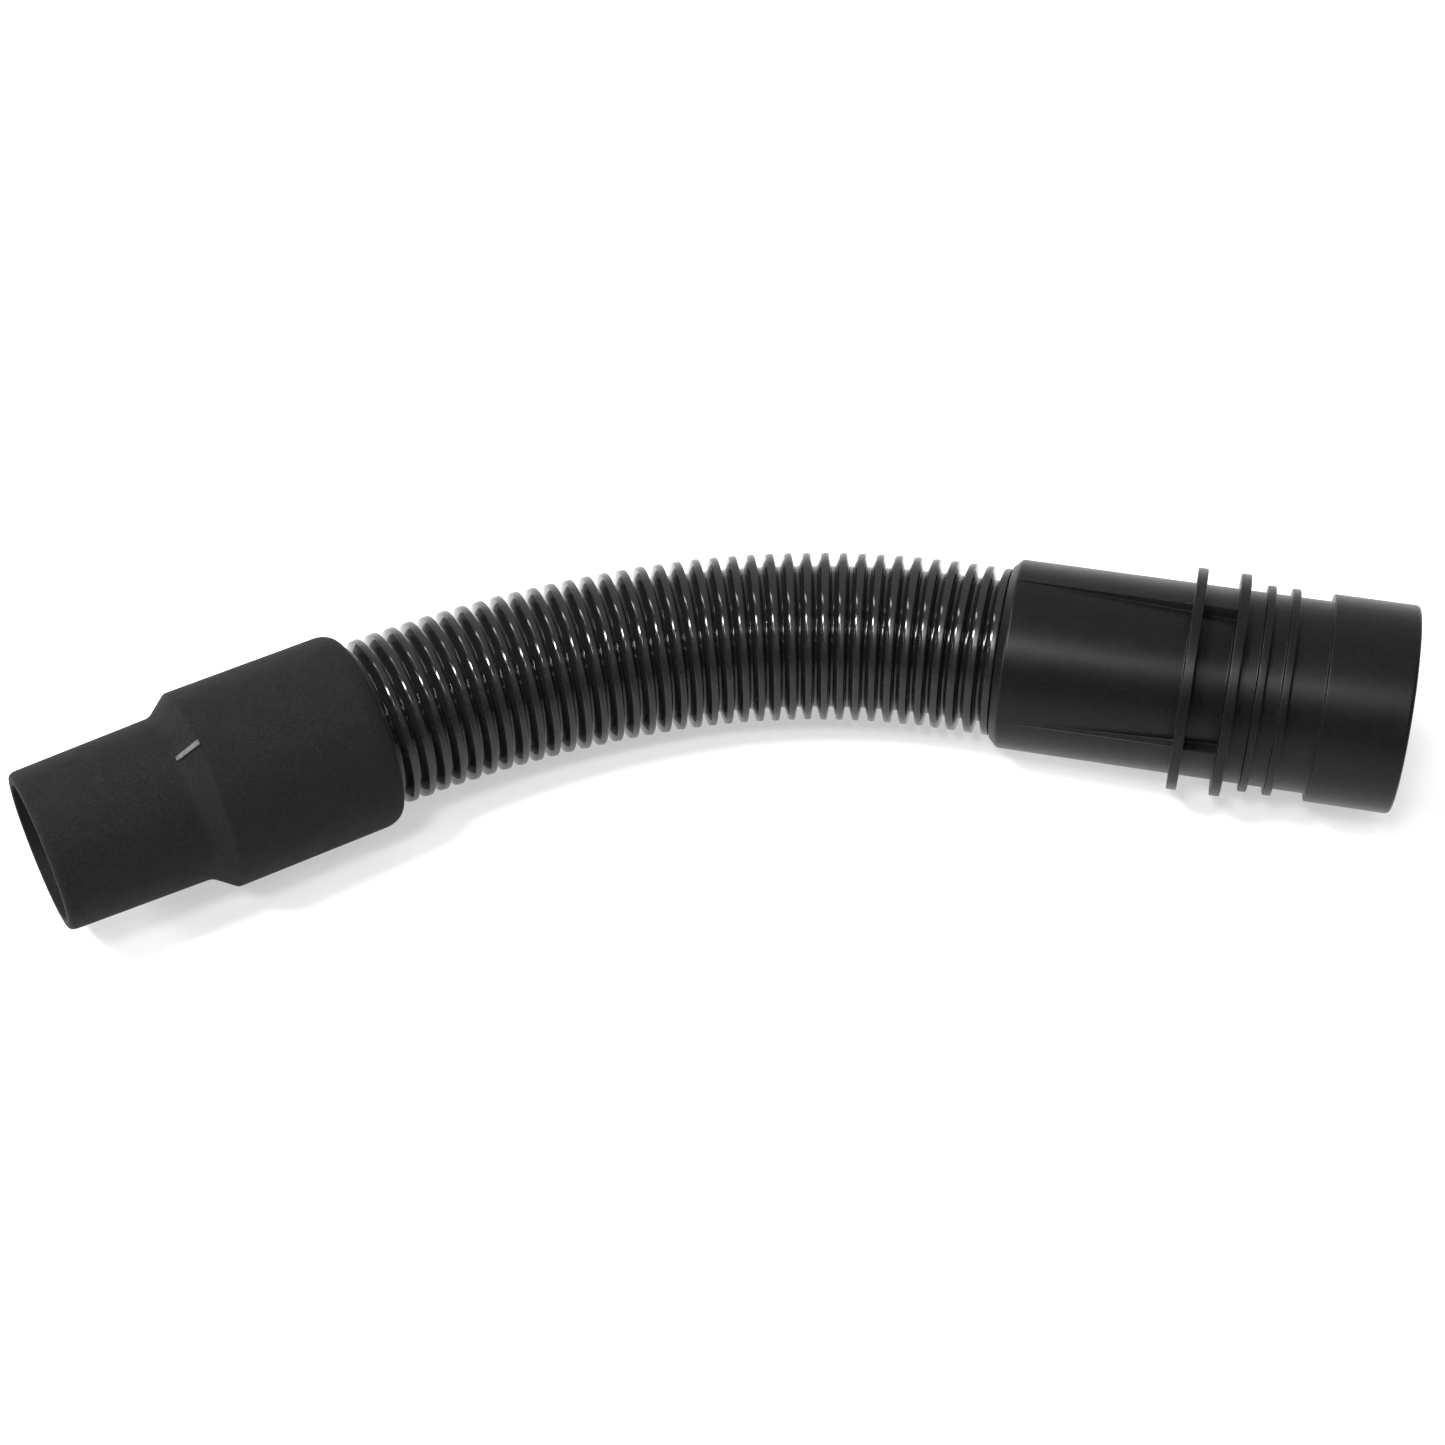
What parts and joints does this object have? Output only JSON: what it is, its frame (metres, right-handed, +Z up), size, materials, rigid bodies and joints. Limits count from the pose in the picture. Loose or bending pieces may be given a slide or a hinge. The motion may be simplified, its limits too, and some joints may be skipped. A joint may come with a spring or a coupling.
{
  "type": "vacuum hose",
  "caption": "Short bent corrugated vacuum hose with a soft stepped nozzle cuff at one end and a rigid flanged swivel connector at the other.",
  "frame": {"origin": "centre of the connector's open end, at the mouth of its machine socket", "axes": "+X roughly out of the connector's open end, along the part's longest extent; +Z up, with the part lying on its side on a flat surface; the hose bends towards -Y"},
  "size_m": [0.3088, 0.1496, 0.0548],
  "materials": {
    "cuff_rubber": "matte soft black rubber",
    "hose_plastic": "glossy black flexible plastic",
    "ferrule_plastic": "plain natural low-friction plastic",
    "seal_rubber": "matte dark red rubber",
    "spring_steel": "bare spring steel",
    "connector_plastic": "satin black moulded plastic"
  },
  "bodies": {
    "connector": {"connector_body": "connector_plastic", "retaining_ring": "spring_steel", "swivel_seal": "seal_rubber"},
    "hose_end": {"hose_ferrule": "ferrule_plastic"},
    "hose": {"corrugated_hose": "hose_plastic"},
    "nozzle": {"nozzle_cuff": "cuff_rubber"}
  },
  "joints": [
    {"name": "connector_swivel", "type": "hinge", "parent": "connector", "child": "hose_end", "pos_m": [-0.06277, -0.00044, -0.00467], "axis": [0.9972, 0.0071, 0.0743], "continuous": true},
    {"name": "bend_by_connector", "type": "hinge", "parent": "hose_end", "child": "hose", "pos_m": [-0.13314, -0.00338, -0.00945], "axis": [-0.0743, 0.1882, 0.9793], "range_deg": [-70, 22], "stiffness_Nm_per_rad": 2.8, "deforming": ["corrugated_hose"]},
    {"name": "bend_by_nozzle", "type": "hinge", "parent": "hose", "child": "nozzle", "pos_m": [-0.20486, -0.03332, -0.00913], "axis": [-0.0743, 0.1882, 0.9793], "range_deg": [-65, 27], "stiffness_Nm_per_rad": 2.8, "deforming": ["corrugated_hose"]}
  ]
}
